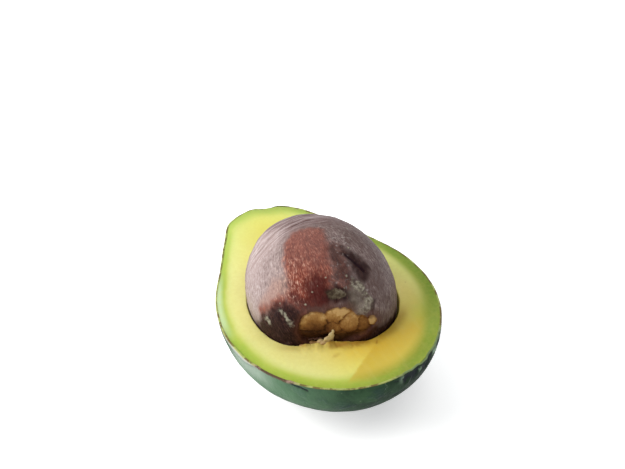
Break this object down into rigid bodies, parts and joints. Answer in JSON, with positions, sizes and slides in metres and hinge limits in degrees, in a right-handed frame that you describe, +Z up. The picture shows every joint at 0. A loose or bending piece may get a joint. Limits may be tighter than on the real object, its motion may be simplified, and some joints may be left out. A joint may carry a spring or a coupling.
{
  "type": "avocado half",
  "caption": "Half a smooth green-skinned avocado with its seed in place, lying cut side up on a small flat spot of its skin.",
  "frame": {"origin": "middle of the small flat spot on the skin that the half rests on", "axes": "+Z up, square to the cut face and away from the rest spot; +Y along the fruit towards its stem end; +X to the right when the stem end points away"},
  "size_m": [0.08, 0.1253, 0.0622],
  "materials": {
    "skin": "waxy, semi-gloss, deep blue-green peel with fine pores and a few dark creases",
    "flesh": "moist, butter yellow in the middle, yellow-green in a band under the skin, with faint knife marks",
    "seed": "satin red-brown coat with a fibrous grain and a lilac-grey bloom, torn to tan at the base"
  },
  "bodies": {
    "root": {"skin": "skin", "flesh": "flesh", "seed": "seed"}
  },
  "joints": []
}
